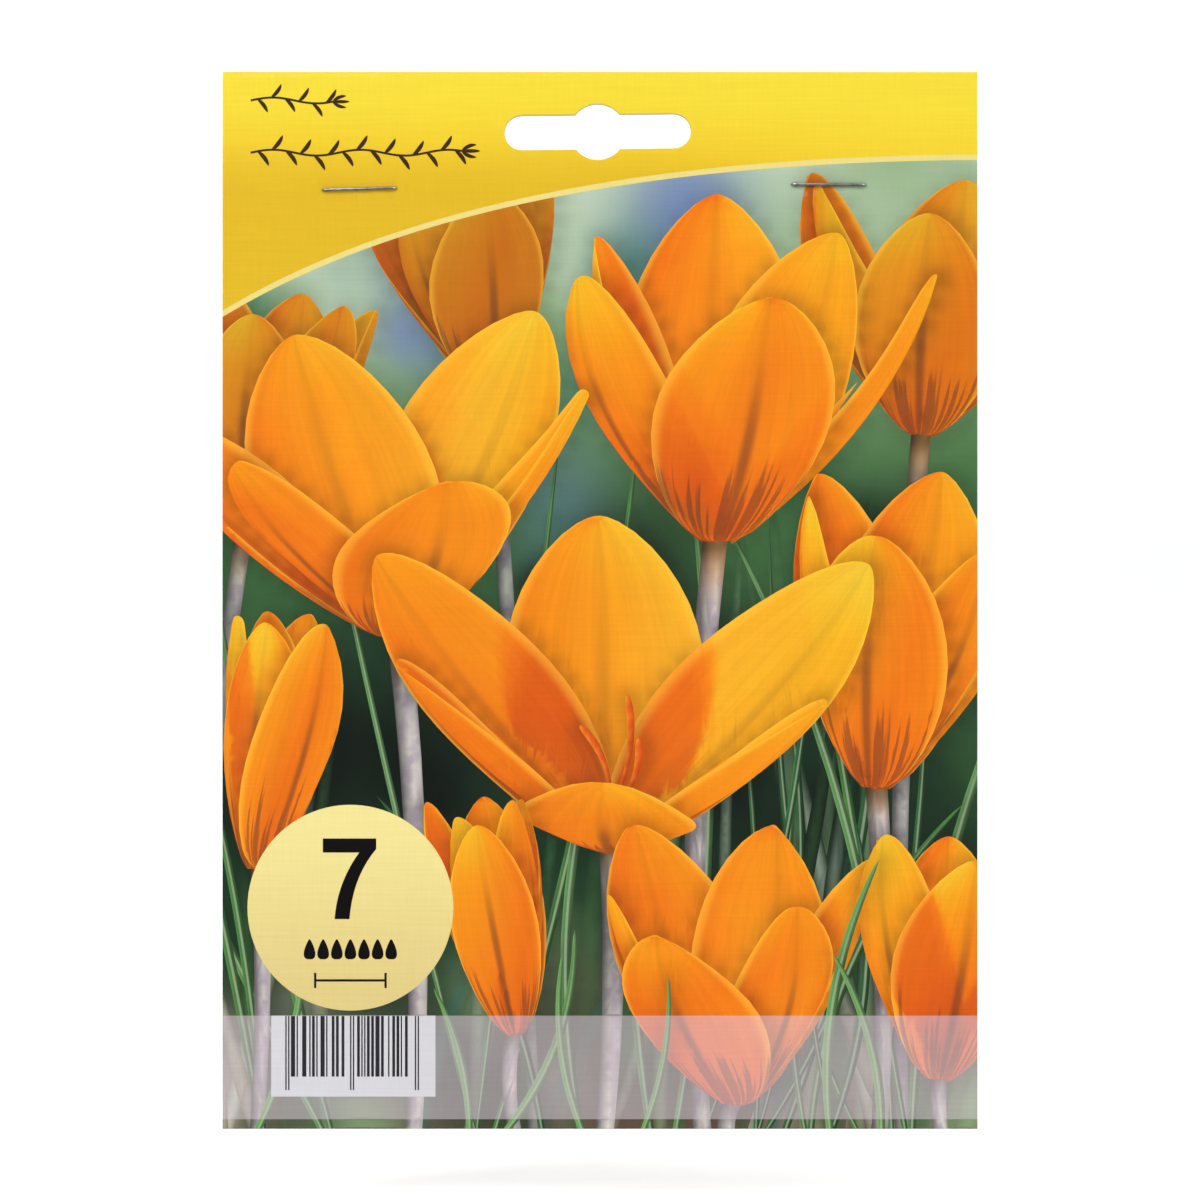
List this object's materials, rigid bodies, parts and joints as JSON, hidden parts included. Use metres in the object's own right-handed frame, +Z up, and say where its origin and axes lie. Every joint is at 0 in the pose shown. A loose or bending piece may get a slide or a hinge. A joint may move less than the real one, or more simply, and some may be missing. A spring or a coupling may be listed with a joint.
{
  "type": "flower bulb packet",
  "caption": "Hanging packet of crocus bulbs: a printed card with a hanging slot, folded and stapled over the mouth of a clear perforated bag that holds the corms.",
  "frame": {"origin": "top of the round bump in the hanging slot, where a peg carries the packet, midway between the card's front panel and its flap", "axes": "+Z up along the hanging card, -Y out of the printed face, +Y towards the bag, +X to the right of someone who looks at the print"},
  "size_m": [0.1288, 0.0297, 0.1803],
  "materials": {
    "printed_card": "satin",
    "clear_film": "gloss",
    "corm_coat": "matte",
    "staple_wire": "satin"
  },
  "bodies": {
    "root": {"card": "printed_card", "bag": "clear_film", "corm_1": "corm_coat", "corm_2": "corm_coat", "corm_3": "corm_coat", "corm_4": "corm_coat", "corm_5": "corm_coat", "corm_6": "corm_coat", "corm_7": "corm_coat", "staple_left": "staple_wire", "staple_right": "staple_wire"}
  },
  "joints": []
}
